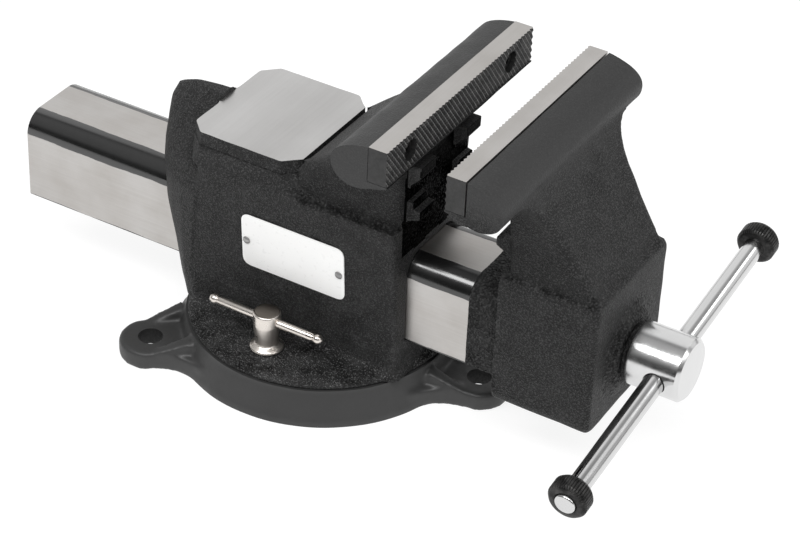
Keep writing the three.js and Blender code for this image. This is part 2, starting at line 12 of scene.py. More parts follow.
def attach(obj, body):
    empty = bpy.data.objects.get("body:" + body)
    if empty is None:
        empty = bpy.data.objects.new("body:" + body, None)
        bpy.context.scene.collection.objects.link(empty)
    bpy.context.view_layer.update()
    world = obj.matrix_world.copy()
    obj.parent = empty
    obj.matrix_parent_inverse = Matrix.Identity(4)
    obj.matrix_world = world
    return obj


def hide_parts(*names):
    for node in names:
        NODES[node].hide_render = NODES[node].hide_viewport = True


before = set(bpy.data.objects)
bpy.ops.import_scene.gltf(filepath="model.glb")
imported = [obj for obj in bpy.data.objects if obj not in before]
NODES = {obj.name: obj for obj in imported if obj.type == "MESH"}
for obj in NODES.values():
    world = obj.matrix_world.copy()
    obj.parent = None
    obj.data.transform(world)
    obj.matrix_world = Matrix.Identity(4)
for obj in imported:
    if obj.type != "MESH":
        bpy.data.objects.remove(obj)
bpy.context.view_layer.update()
MM = 0.001

# ---------------------------------------------------------------- sizes that the CAD shares
GAP = 0.3
HALF_JAW = 75.0
FIXED_FACE = 81.0
MOVABLE_FACE = 114.0
INSERT = {"depth": 11.2, "low": 172.4, "top": 192.5, "screw_y": 51.5, "screw_z": 182.4, "screw_hole": 3.3}
BEAM = {"depth": 33.0, "ledge": 172.1, "low": 165.6, "top": 192.2}
PIPE_RECESS = {"half": 33, "low": 120}
SLIDE = {"half": 26.0, "top": 95.0, "bottom": 42.3, "corner": 12.7, "rear": -184.0, "neck": 105.7,
         "hollow_half": 17.0, "hollow_top": 87.0}
COLLAR_WALL = 162.6
SPINDLE_Z = 71.1
SHAFT = {"radius": 10, "neck": 9, "tip": 8.2, "rear": -139, "front": 149, "lead": 6, "thread_depth": 2.2}
HUB = {"radius": 17.7, "rear": 193.2, "front": 223.8, "chamfer": 1.9}
HANDLE = {"x": 210.8, "tilt": 7.9, "radius": 5.8, "half": 114.5, "cap": 11.0, "face": 113.0, "thick": 11.0}
BASE = {"bottom": 82.3, "top": 76.4, "height": 20.3, "pocket": 28.3, "pocket_floor": 8.2}
LUG_HOLES = ((98.86, 5.18), (-78.47, 57.02), (-72.08, -64.91))
LUG_HOLE_RADIUS = 7
DISK = {"low": 20.6, "spigot": 28}
ANVIL = {"rear": -63.5, "front": 4.5, "half": 39.7, "top": 138.0, "shoulder": 130.0, "chamfer": 8.6}
LOCK = {"x": -2.2, "reach": 54.0, "seat": 26.1, "top": 50.0, "bar_x": -3.0, "bar_z": 44.6, "bar_half": 33.4}
PLATE = {"x": 5.4, "z": 81.2, "length": 65.0, "height": 34.4, "thick": 0.8, "rivet": 29.3}
PLATE_WALL = {"low": 28.4, "high": 119.5, "half_low": 36.4, "half_high": 43.0}

# ---------------------------------------------------------------- sizes of detail made here
TEETH = {"width": 3.2, "height": 4.1, "depth": 0.8, "back": 3.0, "columns": 52, "rows": 7}
COUNTERBORE = {"radius": 6.0, "depth": 8.9}
KNURL = {"teeth": 44, "points_a_tooth": 4, "depth": 0.55}
LOCK_ROD = {"radius": 2.4, "ball": 2.9, "bore": 2.6}
PLATE_CORNER = 5.4
FLOOR_HALF = 6000


# ---------------------------------------------------------------- shapes: (points, faces) in millimetres
def turned(radius, step, steps):
    """The (x, y) of one of the steps round a circle."""
    angle = math.tau * step / steps
    return radius * math.cos(angle), radius * math.sin(angle)


def lathe(profile, steps=64):
    """A closed solid turned about Z; the profile is (radius, height) pairs from axis to axis."""
    points, rings = [], []
    for radius, height in profile:
        if radius == 0:
            rings.append([len(points)])
            points.append((0, 0, height))
            continue
        rings.append(list(range(len(points), len(points) + steps)))
        points += [(*turned(radius, i, steps), height) for i in range(steps)]
    faces = []
    for a, b in zip(rings, rings[1:]):
        for i in range(steps):
            j = (i + 1) % steps
            face = [a[i % len(a)], a[j % len(a)], b[j % len(b)], b[i % len(b)]]
            faces.append(list(dict.fromkeys(face)))
    return points, faces


def ring(profile, steps, groove=None):
    """A closed ring about Z from a loop of (radius, height); groove(radius, step) is cut into it."""
    points = []
    for radius, height in profile:
        for k in range(steps):
            cut = groove(radius, k) if groove else 0
            points.append((*turned(radius - cut, k, steps), height))
    faces = []
    for row in range(len(profile)):
        after = (row + 1) % len(profile)
        for k in range(steps):
            j = (k + 1) % steps
            faces.append([row * steps + k, row * steps + j, after * steps + j, after * steps + k])
    return points, faces


def washer(inner, outer, low, high):
    return ring([(inner, low), (outer, low), (outer, high), (inner, high)], 96)


def prism(outline, low, high, axis="Z"):
    """An outline swept along an axis: (y, z) along X, (x, z) along Y, (x, y) along Z."""
    place = {"X": lambda u, v, w: (w, u, v), "Y": lambda u, v, w: (u, w, v), "Z": lambda u, v, w: (u, v, w)}
    points = [place[axis](u, v, w) for w in (low, high) for u, v in outline]
    count = len(outline)
    faces = [[i, (i + 1) % count, count + (i + 1) % count, count + i] for i in range(count)]
    return points, faces + [list(range(count)), list(range(2 * count - 1, count - 1, -1))]


def block(x, y, z):
    return prism([(x[0], y[0]), (x[1], y[0]), (x[1], y[1]), (x[0], y[1])], z[0], z[1])


def rod(radius, low, high, steps=48):
    return lathe([(0, low), (radius, low), (radius, high), (0, high)], steps)


def moved(shape, matrix):
    return [tuple(matrix @ Vector(p)) for p in shape[0]], shape[1]


def shifted(shape, x=0, y=0, z=0):
    return moved(shape, Matrix.Translation((x, y, z)))


def along_x(shape, y=0, z=0):
    """A shape about Z laid along X, through (y, z)."""
    return moved(shape, Matrix.Translation((0, y, z)) @ Matrix.Rotation(math.pi / 2, 4, "Y"))


def rounded(points, size, closed=False, steps=4):
    """The corners of a line or outline replaced by curves that start a given distance from them."""
    made = []
    count = len(points)
    for i, corner in enumerate(points):
        if not closed and i in (0, count - 1):
            made.append(tuple(corner))
            continue
        here = Vector(corner)
        before, after = Vector(points[i - 1]) - here, Vector(points[(i + 1) % count]) - here
        if before.length == 0 or after.length == 0:
            continue
        start = here + before.normalized() * min(size, 0.45 * before.length)
        end = here + after.normalized() * min(size, 0.45 * after.length)
        for k in range(steps + 1):
            t = k / steps
            made.append(tuple(start.lerp(here, t).lerp(here.lerp(end, t), t)))
    return made


def bezier(p0, p1, p2, p3, steps=10):
    """Points along a cubic curve, without its first."""
    made = []
    for i in range(1, steps + 1):
        t = i / steps
        weights = ((1 - t) ** 3, 3 * t * (1 - t) ** 2, 3 * t * t * (1 - t), t ** 3)
        made.append(tuple(sum(w * p[k] for w, p in zip(weights, (p0, p1, p2, p3))) for k in (0, 1)))
    return made


def beam_outline(face, inward):
    """Section of a jaw beam in (x, z); inward points from the face into the jaw."""
    def at(u):
        return face + inward * u
    seat = INSERT["depth"] + GAP
    depth, ledge, low, top = BEAM["depth"], BEAM["ledge"], BEAM["low"], BEAM["top"]
    line = [(at(-4), ledge + 0.5), (at(0), ledge - 0.8), (at(12), low + 1.9)]
    line += bezier(line[-1], (at(20), low - 1.6), (at(depth), low + 1), (at(depth), low + 13))
    line += bezier(line[-1], (at(depth), low + 21), (at(22), top - 1.4), (at(seat), top))
    return line + [(at(-4), top)]


def slide_outline(grow):
    """Section of the slide in (y, z), from its near bottom corner round over the top."""
    half, top, r = SLIDE["half"] + grow, SLIDE["top"] + grow, SLIDE["corner"] + grow
    line = [(-half, SLIDE["bottom"] - grow)]
    for centre, start in ((r - half, math.pi), (half - r, math.pi / 2)):
        for i in range(11):
            angle = start - math.pi / 2 * i / 10
            line.append((centre + r * math.cos(angle), top - r + r * math.sin(angle)))
    return line + [(half, SLIDE["bottom"] - grow)]


def anvil_outline(grow=0.0):
    """The anvil's chamfered rectangle in (x, y)."""
    rear, front, half = ANVIL["rear"] - grow, ANVIL["front"] + grow, ANVIL["half"] + grow
    cut = ANVIL["chamfer"]
    return [(rear, cut - half), (rear + cut, -half), (front - cut, -half), (front, cut - half),
            (front, half - cut), (front - cut, half), (rear + cut, half), (rear, half - cut)]


# ---------------------------------------------------------------- meshes
def new_object(name, mesh):
    obj = bpy.data.objects.new(name, mesh)
    bpy.context.scene.collection.objects.link(obj)
    return obj


def mesh_from(name, *shapes):
    """One object of one or more closed shapes, with its faces turned outwards."""
    points, faces = [], []
    for shape_points, shape_faces in shapes:
        first = len(points)
        points += [tuple(c * MM for c in p) for p in shape_points]
        faces += [[first + i for i in face] for face in shape_faces]
    mesh = bpy.data.meshes.new(name)
    mesh.from_pydata(points, [], faces)
    bm = bmesh.new()
    bm.from_mesh(mesh)
    bmesh.ops.recalc_face_normals(bm, faces=bm.faces)
    bm.to_mesh(mesh)
    bm.free()
    return new_object(name, mesh)


def cad_copy(node, name):
    """A new piece that starts from a CAD node's shape, with its split corners merged."""
    mesh = bpy.data.meshes.new(name)
    bm = bmesh.new()
    bm.from_mesh(NODES[node].data)
    bmesh.ops.remove_doubles(bm, verts=bm.verts, dist=1e-6)
    bm.to_mesh(mesh)
    bm.free()
    return new_object(name, mesh)


def settle(obj):
    """The object's modifiers become its mesh."""
    seen = obj.evaluated_get(bpy.context.evaluated_depsgraph_get())
    mesh = bpy.data.meshes.new_from_object(seen)
    old = obj.data
    obj.modifiers.clear()
    obj.data = mesh
    bpy.data.meshes.remove(old)


def boolean(obj, operation, tool):
    """Applies a boolean with another object, which is used up."""
    step = obj.modifiers.new("step", "BOOLEAN")
    step.operation, step.object, step.solver = operation, tool, "EXACT"
    settle(obj)
    bpy.data.objects.remove(tool)


def carve(obj, *shapes):
    """Cuts each shape in turn from the object."""
    for shape in shapes:
        boolean(obj, "DIFFERENCE", mesh_from("tool", shape))


def trim(obj, shape):
    """Keeps only what lies inside the shape."""
    boolean(obj, "INTERSECT", mesh_from("tool", shape))


def add_stock(obj, *shapes):
    """Loose closed shapes joined into the mesh, for a remesh to merge."""
    bm = bmesh.new()
    bm.from_mesh(obj.data)
    for shape in shapes:
        extra = mesh_from("stock", shape)
        bm.from_mesh(extra.data)
        bpy.data.objects.remove(extra)
    bm.to_mesh(obj.data)
    bm.free()


def remesh(obj, size):
    """Merges the mesh's shapes into one skin of even small faces."""
    step = obj.modifiers.new("remesh", "REMESH")
    step.mode, step.voxel_size = "VOXEL", size * MM
    settle(obj)


def relax(obj, times, hold):
    """Rounds every edge by moving points towards their neighbours; hold(points) is 1 where they stay."""
    mesh = obj.data
    count = len(mesh.vertices)
    spots = np.empty(count * 3)
    mesh.vertices.foreach_get("co", spots)
    spots = spots.reshape(-1, 3)
    edges = np.empty(len(mesh.edges) * 2, int)
    mesh.edges.foreach_get("vertices", edges)
    a, b = edges.reshape(-1, 2).T
    share = np.bincount(a, minlength=count) + np.bincount(b, minlength=count)
    free = 0.5 * (1 - hold(spots / MM))
    for _ in range(times):
        for axis in range(3):
            c = spots[:, axis]
            total = np.bincount(a, c[b], count) + np.bincount(b, c[a], count)
            spots[:, axis] = c + free * (total / share - c)
    mesh.vertices.foreach_set("co", spots.ravel())
    mesh.update()


def uneven(obj, amount, scale, seed, where=None):
    """The slight waviness of a cast skin, over the whole piece or where a test of the point says."""
    mesh = obj.data
    for v, n in zip(mesh.vertices, [Vector(p.vector) for p in mesh.vertex_normals]):
        if where is None or where(v.co / MM):
            v.co += n * (noise.noise(v.co / (scale * MM) + Vector((seed, 0, 0))) * amount * MM)
    mesh.update()


def bevel(obj, width, angle):
    """Bevels the edges that turn by more than an angle."""
    step = obj.modifiers.new("bevel", "BEVEL")
    step.width, step.segments, step.angle_limit = width * MM, 2, math.radians(angle)
    step.limit_method = "ANGLE"
    settle(obj)


def paint_faces(obj, materials, choose):
    """Gives each face the one of the materials that choose(centre, normal) returns, in millimetres."""
    for material in materials:
        obj.data.materials.append(material)
    for face in obj.data.polygons:
        face.material_index = materials.index(choose(face.center / MM, face.normal))


def finish_piece(obj, body, replaced=(), angle=32):
    """Smooth shading up to an angle, and the piece's body and replaced CAD nodes."""
    obj.data.shade_smooth()
    obj.data.set_sharp_from_angle(angle=math.radians(angle))
    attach(obj, body)
    if replaced:
        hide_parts(*replaced)


# ---------------------------------------------------------------- materials
class Tree:
    """A node tree, with short calls for the nodes used here."""

    def __init__(self, tree, space):
        self.tree = tree
        self.place = tree.nodes.new("ShaderNodeTexCoord").outputs[space]

    def feed(self, socket, value):
        """Links a socket to another one, or gives it a constant."""
        if isinstance(value, bpy.types.NodeSocket):
            self.tree.links.new(value, socket)
        else:
            socket.default_value = value

    def node(self, kind, inputs, **settings):
        made = self.tree.nodes.new(kind)
        for key, value in settings.items():
            setattr(made, key, value)
        for key, value in inputs.items():
            self.feed(made.inputs[key], value)
        return made

    def split(self):
        """The X, Y and Z of the place."""
        return self.node("ShaderNodeSeparateXYZ", {"Vector": self.place}).outputs

    def math(self, operation, a, b=0.0):
        return self.node("ShaderNodeMath", {0: a, 1: b}, operation=operation).outputs[0]

    def spread(self, value, low, high, to_low=0.0, to_high=1.0):
        """A value from low..high mapped to to_low..to_high."""
        return self.node("ShaderNodeMapRange", {"Value": value, "From Min": low, "From Max": high,
                                                "To Min": to_low, "To Max": to_high}).outputs["Result"]

    def ramp(self, value, stops):
        """A grey that follows (position, brightness) stops."""
        ramp = self.node("ShaderNodeValToRGB", {"Fac": value})
        elements = ramp.color_ramp.elements
        elements[0].position, elements[1].position = stops[0][0], stops[-1][0]
        elements[0].color, elements[1].color = grey(stops[0][1]), grey(stops[-1][1])
        for spot, brightness in stops[1:-1]:
            elements.new(spot).color = grey(brightness)
        return ramp.outputs["Color"]


class Paint(Tree):
    """A material on the Principled shader, placed by object coordinates."""

    SOCKETS = {"color": "Base Color", "metal": "Metallic", "rough": "Roughness", "normal": "Normal",
               "specular": "Specular IOR Level", "glow": "Emission Color",
               "glow_strength": "Emission Strength"}

    def __init__(self, name):
        self.material = bpy.data.materials.new(name)
        self.material.use_nodes = True
        super().__init__(self.material.node_tree, "Object")
        self.shader = self.tree.nodes["Principled BSDF"]

    def scaled(self, x, y, z):
        """Object coordinates stretched on each axis, for grain with a direction."""
        return self.node("ShaderNodeMapping", {"Vector": self.place, "Scale": (x, y, z)}).outputs["Vector"]

    def noise(self, scale, detail=3.0, vector=None, roughness=0.5):
        return self.node("ShaderNodeTexNoise", {"Vector": vector or self.place, "Scale": scale,
                                                "Detail": detail, "Roughness": roughness}).outputs["Fac"]

    def cells(self, scale):
        return self.node("ShaderNodeTexVoronoi", {"Vector": self.place, "Scale": scale}).outputs["Distance"]

    def mixed(self, a, share_a, b, share_b):
        """The sum of two values, each times its share."""
        return self.math("ADD", self.math("MULTIPLY", a, share_a), self.math("MULTIPLY", b, share_b))

    def blend(self, share, a, b):
        made = self.node("ShaderNodeMix", {}, data_type="RGBA")
        sockets = [s for s in made.inputs if s.enabled]
        for socket, value in zip(sockets, (share, a, b)):
            self.feed(socket, value)
        return next(s for s in made.outputs if s.enabled)

    def bump(self, height, strength, depth, normal=None):
        made = self.node("ShaderNodeBump", {"Height": height, "Strength": strength, "Distance": depth * MM})
        if normal is not None:
            self.feed(made.inputs["Normal"], normal)
        return made.outputs["Normal"]

    def done(self, **values):
        for key, value in values.items():
            self.feed(self.shader.inputs[self.SOCKETS[key]], value)
        return self.material


def grey(value, warm=0.0):
    return (value * (1 + warm), value, value * (1 - warm), 1)


def textured_paint(name, grain, dark, light, depth, clump=0.25, smooth_from=0.150,
                   shine_range=(0.22, 0.46), tone_range=(0.42, 0.64)):
    """Fine-textured black paint: a pebbled skin whose grain tops catch more light. Over a height of
    18 mm above smooth_from, in metres, the grain fades to the share that is left higher up."""
    fade, left_above, smooth_tone, wander = 0.018, 0.22, 0.62, 0.012
    n = Paint(name)
    up = n.split()["Z"]
    patches = n.noise(75, 4, roughness=0.65)
    level = n.math("ADD", up, n.math("MULTIPLY", patches, wander))
    grip = n.spread(level, smooth_from, smooth_from + fade, 1.0, left_above)
    pebbles = n.noise(grain, 2.0, roughness=0.6)
    cells = n.spread(n.cells(grain * 1.1), 0.0, 0.75, 1.0, 0.0)
    height = n.mixed(pebbles, 0.65, cells, 0.35)
    clumps = n.spread(patches, 0.35, 0.65)
    tone = n.mixed(n.spread(height, *tone_range), 1 - clump, clumps, clump)
    tone = n.math("ADD", n.math("MULTIPLY", tone, grip), n.spread(grip, 0.0, 1.0, smooth_tone, 0.0))
    return n.done(color=n.blend(tone, grey(dark), grey(light)),
                  rough=n.spread(patches, 0.3, 0.7, 0.46, 0.60),
                  normal=n.bump(n.math("MULTIPLY", height, grip), 1.0, depth),
                  specular=n.spread(tone, 0.1, 0.9, *shine_range))


def smooth_paint(name, dark, light):
    """Satin black paint with a faint cast unevenness under it."""
    n = Paint(name)
    cast = n.noise(260, 3)
    cloud = n.noise(40, 3)
    return n.done(color=n.blend(cloud, grey(dark), grey(light)), rough=n.spread(cast, 0.3, 0.7, 0.42, 0.54),
                  normal=n.bump(cast, 0.6, 0.12), specular=0.5)


def ground_steel(name, grain, value, warm, rough, bands=0.3):
    """Surface-ground steel: straight fine scratches along one way, broad bands and faint stains."""
    broad_scale = 0.06
    n = Paint(name)
    scratches = n.noise(1.0, 4, n.scaled(*grain), 0.7)
    stains = n.noise(38, 4)
    broad = n.noise(1.0, 2, n.scaled(*[c * broad_scale for c in grain]), 0.5)
    tone = n.mixed(scratches, 0.3, stains, 0.7 - bands)
    tone = n.math("ADD", tone, n.math("MULTIPLY", broad, bands))
    color = n.blend(n.spread(tone, 0.36, 0.64), grey(value * 0.86, warm * 1.5), grey(value * 1.08, warm))
    return n.done(color=color, metal=1.0, rough=n.spread(scratches, 0.3, 0.7, *rough),
                  normal=n.bump(scratches, 0.35, 0.03))


def painted_part_of_slide(n):
    """How far a place on the slide is inside the paint, in metres: its round corners, the bottom edges
    and the hollow, with a line that wanders a little."""
    axes = n.split()
    wander = n.math("MULTIPLY", n.math("SUBTRACT", n.noise(1.0, 4, n.scaled(45, 260, 260)), 0.5), 0.0028)
    across = n.math("ABSOLUTE", axes["Y"])
    side = n.math("SUBTRACT", across, (SLIDE["half"] - SLIDE["corner"] + 0.6) * MM)
    height = n.math("SUBTRACT", axes["Z"], (SLIDE["top"] - SLIDE["corner"] + 1.2) * MM)
    corner = n.math("ADD", n.math("MINIMUM", side, height), wander)
    under = n.math("ADD", n.math("SUBTRACT", (SLIDE["bottom"] + 0.9) * MM, axes["Z"]), wander)
    inside = n.math("SUBTRACT", (SLIDE["hollow_half"] + 2.5) * MM, across)
    below = n.math("SUBTRACT", (SLIDE["hollow_top"] + 1) * MM, axes["Z"])
    return n.math("MAXIMUM", n.math("MAXIMUM", corner, under), n.math("MINIMUM", inside, below))


def slide_finish(name):
    """Ground steel on the slide's flats, with glossy black paint left on its rounded corners."""
    edge = 0.00012
    n = Paint(name)
    painted = n.spread(painted_part_of_slide(n), -edge, edge)
    scratches = n.noise(1.0, 4, n.scaled(18, 900, 900), 0.7)
    stains = n.noise(42, 5)
    tone = n.spread(n.mixed(scratches, 0.3, stains, 0.7), 0.35, 0.65)
    steel = n.blend(tone, grey(0.43, 0.05), grey(0.54, 0.03))
    black = n.blend(n.noise(300, 2), grey(0.006), grey(0.012))
    rough = n.math("ADD", n.math("MULTIPLY", painted, -0.20), n.spread(stains, 0.3, 0.7, 0.30, 0.40))
    return n.done(color=n.blend(painted, steel, black), metal=n.math("SUBTRACT", 1.0, painted), rough=rough,
                  normal=n.bump(scratches, 0.3, 0.03, n.bump(painted, 0.8, 0.08)),
                  specular=n.spread(painted, 0.0, 1.0, 0.5, 1.0))


def bright_metal(name, value, warm, rough, brushing=(300, 300, 300)):
    """Plated or polished metal: faint polishing lines and a trace of haze."""
    n = Paint(name)
    lines = n.noise(1.0, 3, n.scaled(*brushing), 0.6)
    haze = n.noise(60, 3)
    return n.done(color=n.blend(haze, grey(value * 0.94, warm), grey(value, warm)), metal=1.0,
                  rough=n.spread(n.mixed(haze, 0.6, lines, 0.4), 0.35, 0.65, rough * 0.7, rough * 1.4),
                  normal=n.bump(lines, 0.15, 0.01))


def dark_steel(name, dark, light, rough, metal=0.7):
    """Blackened or plain machined steel with worn, lighter high spots."""
    n = Paint(name)
    wear = n.noise(180, 4, roughness=0.65)
    fine = n.noise(900, 2)
    return n.done(color=n.blend(n.spread(wear, 0.40, 0.72), grey(dark), grey(light, 0.02)), metal=metal,
                  rough=n.spread(fine, 0.3, 0.7, rough * 0.85, rough * 1.15), normal=n.bump(fine, 0.3, 0.04))


def enamel(name):
    """White enamelled plate with a faint orange peel."""
    n = Paint(name)
    peel = n.noise(420, 2)
    color = n.blend(n.noise(60, 3), (0.90, 0.90, 0.89, 1), (0.95, 0.95, 0.94, 1))
    return n.done(color=color, rough=n.spread(peel, 0.3, 0.7, 0.26, 0.36), normal=n.bump(peel, 0.25, 0.03))


CAST_PAINT = textured_paint("cast_paint", grain=950, dark=0.010, light=0.052, depth=1.3)
ROUGH_PAINT = textured_paint("rough_paint", grain=600, dark=0.001, light=0.050, depth=2.4, clump=0.45)
JAW_PAINT = textured_paint("jaw_paint", grain=950, dark=0.008, light=0.044, depth=1.3, smooth_from=0.170)
# Painted shade: near-black paint that stands for the shadow deep in the pipe-jaw recesses between the jaws.
RECESS_PAINTED_SHADE = textured_paint("recess_painted_shade", grain=700, dark=0.0005, light=0.006, depth=0.5,
                              shine_range=(0.0, 0.03))
DISK_PAINT = textured_paint("disk_paint", grain=900, dark=0.001, light=0.16, depth=2.2,
                            tone_range=(0.47, 0.66))
BASE_PAINT = smooth_paint("base_paint", dark=0.028, light=0.040)
GROUND_STEEL = ground_steel("ground_along_y", (1100, 25, 1100), 0.50, 0.03, (0.34, 0.46))
ANVIL_STEEL = ground_steel("anvil_steel", (500, 18, 500), 0.53, 0.01, (0.30, 0.40), bands=0.5)
SLIDE_STEEL = slide_finish("slide_steel")
TOOTH_STEEL = dark_steel("tooth_steel", dark=0.05, light=0.13, rough=0.42, metal=0.8)
# Lit and shaded copies of the tooth steel: a painted highlight for facets that face up and away, painted
# shade for facets that face down.
TOOTH_PAINTED_HIGHLIGHT = dark_steel("tooth_painted_highlight", dark=0.20, light=0.36, rough=0.40, metal=0.7)
TOOTH_PAINTED_SHADE = dark_steel("tooth_painted_shade", dark=0.008, light=0.03, rough=0.5, metal=0.4)
END_STEEL = dark_steel("insert_end", dark=0.014, light=0.028, rough=0.55, metal=0.0)
BLACK_STEEL = dark_steel("black_steel", dark=0.012, light=0.07, rough=0.38)
PLAIN_STEEL = dark_steel("plain_steel", dark=0.30, light=0.42, rough=0.35, metal=1.0)
NUT_IRON = dark_steel("nut_iron", dark=0.16, light=0.26, rough=0.5, metal=0.9)
CHROME = bright_metal("chrome", value=0.70, warm=0.0, rough=0.19)
BAR_CHROME = bright_metal("bar_chrome", value=0.66, warm=0.0, rough=0.15, brushing=(900, 60, 900))
NICKEL = bright_metal("nickel", value=0.74, warm=0.07, rough=0.27, brushing=(90, 90, 90))
WORN_NICKEL = bright_metal("worn_nickel", value=0.20, warm=0.12, rough=0.34, brushing=(90, 90, 90))
# Painted shade: near-black walls for the bolt and screw holes, standing for the shadow inside them.
HOLE_PAINTED_SHADE = dark_steel("hole_painted_shade", dark=0.0008, light=0.004, rough=0.7, metal=0.0)
ENAMEL = enamel("enamel")


# ---------------------------------------------------------------- castings
def beam_stock(face, inward):
    """The jaw beam run on past its ends and over the insert's place, so that cuts leave crisp edges."""
    return prism(beam_outline(face, inward), -HALF_JAW - 4, HALF_JAW + 4, "Y")


def beam_cuts(face, inward):
    """Cutters for the seat of the insert, the face of the jaw, the beam's ends and its screw holes."""
    gap = 0.9 if inward > 0 else GAP
    before, above, beside = face - inward * 30, 210, 90
    seat = sorted((face + inward * (INSERT["depth"] + gap), before))
    ends = sorted((before, face + inward * 45))
    screw = sorted((face, face + inward * 26))
    cuts = [block(seat, (-beside, beside), (BEAM["ledge"], above)),
            block(sorted((face, before)), (-beside, beside), (162, above))]
    for side in (-1, 1):
        cuts.append(block(ends, sorted((side * HALF_JAW, side * beside)), (140, above)))
        hole = rod(INSERT["screw_hole"], *screw, 24)
        cuts.append(along_x(hole, side * INSERT["screw_y"], INSERT["screw_z"]))
    return cuts


def anvil_step_cuts():
    """Cutters that leave a crisp step round the anvil block, but for its rear, which runs into the hood."""
    outline = anvil_outline(0.2)
    cuts = []
    for (x0, y0), (x1, y1) in zip(outline, outline[1:] + outline[:1]):
        middle, run = Vector(((x0 + x1) / 2, (y0 + y1) / 2, 0)), Vector((x1 - x0, y1 - y0, 0))
        if middle.x < ANVIL["rear"]:
            continue
        low = ANVIL["shoulder"] + 5 if middle.x > ANVIL["front"] else ANVIL["shoulder"]
        reach = 1.5 if middle.x < ANVIL["rear"] + 6 else 5
        cutter = block((-run.length / 2 - 0.4, run.length / 2 + 0.4), (-reach, 0), (low, 160))
        turn = Matrix.Rotation(math.atan2(run.y, run.x), 4, "Z")
        cuts.append(moved(cutter, Matrix.Translation(middle) @ turn))
    return cuts


def fixed_casting():
    """Foot disk, block, anvil and jaw beam in one casting, with the hole that the slide runs in."""
    front_face, recess_top, foot_disk_top, shelf_top = 60, 160, 27.5, 124
    obj = cad_copy("fixed_jaw_body", "fixed_jaw_casting")
    add_stock(obj, prism(anvil_outline(), 129, 146), beam_stock(FIXED_FACE, -1))
    remesh(obj, 1.0)

    def hold_rim_and_steps(p):
        x, y, z = p.T
        rim = (z < 25) & (np.hypot(x, y) > 70)
        steps = (x > 62) & (np.abs(y) < PIPE_RECESS["half"]) & (z > PIPE_RECESS["low"]) & (z < recess_top)
        return np.where(rim | steps, 0.5, 0.0)

    def hold_all_but_foot(p):
        return np.where((p[:, 2] > 25.5) & (p[:, 2] < 34), 0.2, 1.0)

    def on_shelf(p):
        return 117.5 < p.z < shelf_top and abs(p.y) > 34 and p.x > 4

    relax(obj, 2, hold_rim_and_steps)
    relax(obj, 10, hold_all_but_foot)
    uneven(obj, amount=0.3, scale=14, seed=3)
    uneven(obj, amount=0.5, scale=2.2, seed=4, where=on_shelf)
    carve(obj, washer(DISK["spigot"], 100, 0, DISK["low"]), prism(anvil_outline(0.6), ANVIL["top"], 170),
          prism(slide_outline(GAP), -150, 150, "X"), *beam_cuts(FIXED_FACE, -1), *anvil_step_cuts())

    def choose(c, n):
        if n.z > 0.99 and abs(c.z - ANVIL["top"]) < 0.05:
            return ANVIL_STEEL
        # Recess faces that face the movable jaw get painted shade, since that jaw keeps the light off them.
        if c.x > front_face and n.x > 0.5 and 100 < c.z < 172 and abs(c.y) < PIPE_RECESS["half"]:
            return RECESS_PAINTED_SHADE
        if 116 < c.z < shelf_top + 0.5 and n.z > 0.3 and c.x > 0:
            return ROUGH_PAINT
        return DISK_PAINT if c.z < foot_disk_top and n.z > 0.5 else CAST_PAINT

    paint_faces(obj, (CAST_PAINT, ANVIL_STEEL, DISK_PAINT, ROUGH_PAINT, RECESS_PAINTED_SHADE), choose)
    finish_piece(obj, "fixed_jaw", ["fixed_jaw_body"], 40)


def movable_casting():
    """Front box, web and jaw beam, without the slide, which is a piece of its own."""
    recess_front, recess_top, neck_front, neck_top, boss_face = 133, 163, 131, 105, 186.2
    obj = cad_copy("movable_jaw_body", "movable_jaw_casting")
    trim(obj, block((SLIDE["neck"] - 3, 260), (-100, 100), (0, 220)))
    add_stock(obj, beam_stock(MOVABLE_FACE, 1))
    remesh(obj, 1.0)

    def hold_steps(p):
        x, y, z = p.T
        steps = (x < recess_front) & (np.abs(y) < PIPE_RECESS["half"]) & (z > PIPE_RECESS["low"])
        return np.where(steps & (z < recess_top), 0.5, 0.0)

    def from_spindle(p):
        return math.hypot(p.y, p.z - SPINDLE_Z)

    def on_shelf(p):
        return 117 < p.z < 122.5 and abs(p.y) > 34

    def on_neck(p):
        return p.x < neck_front and p.z < neck_top and abs(p.y) < 30

    def on_boss(p):
        return p.x > boss_face and from_spindle(p) < 28

    relax(obj, 2, hold_steps)
    uneven(obj, amount=0.3, scale=14, seed=8)
    uneven(obj, amount=0.5, scale=2.2, seed=9, where=on_shelf)
    uneven(obj, amount=0.35, scale=3.0, seed=10, where=on_neck)
    uneven(obj, amount=0.5, scale=2.2, seed=11, where=on_boss)
    hollow = SLIDE["hollow_half"]
    carve(obj, block((80, SLIDE["neck"]), (-60, 60), (20, 110)),
          block((90, COLLAR_WALL), (-hollow, hollow), (20, SLIDE["hollow_top"])),
          along_x(rod(SHAFT["neck"] + GAP, 150, 220), z=SPINDLE_Z), *beam_cuts(MOVABLE_FACE, 1))

    def choose(c, n):
        # Recess faces that face the fixed jaw get painted shade.
        if c.x < recess_front + 1 and n.x < -0.5 and abs(c.y) < PIPE_RECESS["half"] + 1 and 100 < c.z < 164:
            return RECESS_PAINTED_SHADE
        neck = c.x < neck_front + 0.5 and c.z < neck_top
        shelf = abs(c.y) > 30 and 116 < c.z < 124 and n.z > 0.3
        boss = c.x > boss_face + 0.3 and from_spindle(c) < 31
        return ROUGH_PAINT if neck or shelf or boss else JAW_PAINT

    paint_faces(obj, (JAW_PAINT, ROUGH_PAINT, RECESS_PAINTED_SHADE), choose)
    finish_piece(obj, "movable_jaw", ["movable_jaw_body"], 40)


